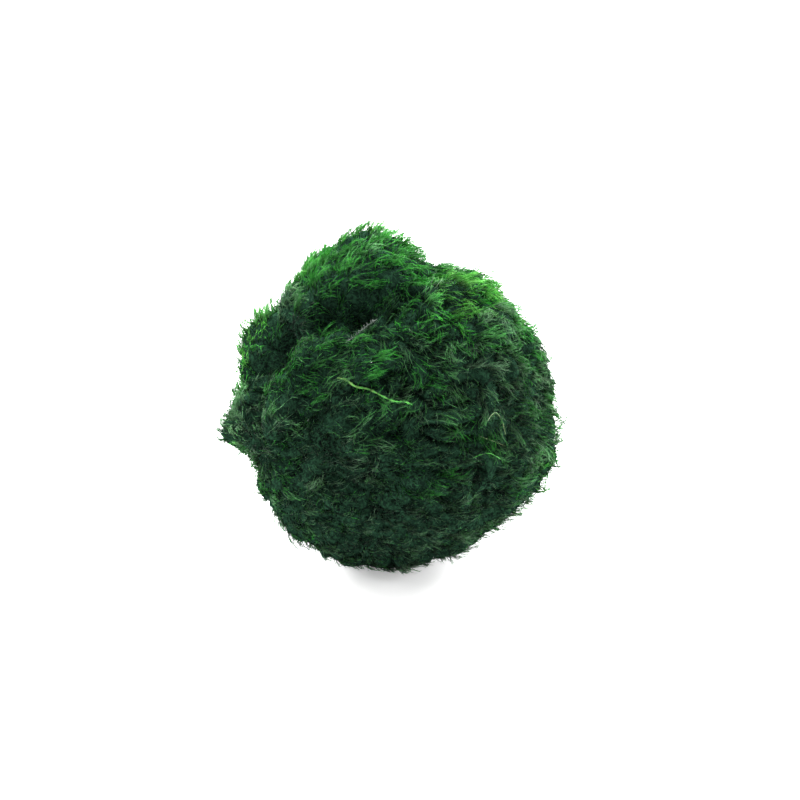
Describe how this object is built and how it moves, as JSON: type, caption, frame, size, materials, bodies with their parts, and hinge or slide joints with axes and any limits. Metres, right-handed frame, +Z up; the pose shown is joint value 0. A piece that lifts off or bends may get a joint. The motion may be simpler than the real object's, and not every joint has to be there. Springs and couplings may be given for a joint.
{
  "type": "moss ball",
  "caption": "Lumpy ball of felted green algae filaments, an aquarium plant that grows loose and rests on a small flat spot.",
  "frame": {"origin": "middle of the flat spot that the ball rests on", "axes": "+Z up, out of the crown of the ball; -Y is the front; +X is to the right seen from the front; -Z is the rest spot's outward normal"},
  "size_m": [0.0502, 0.0489, 0.0485],
  "materials": {
    "algae": "wet felted algae filaments, dark saturated green with bright see-through tips"
  },
  "bodies": {
    "root": {"moss_ball": "algae"}
  },
  "joints": []
}
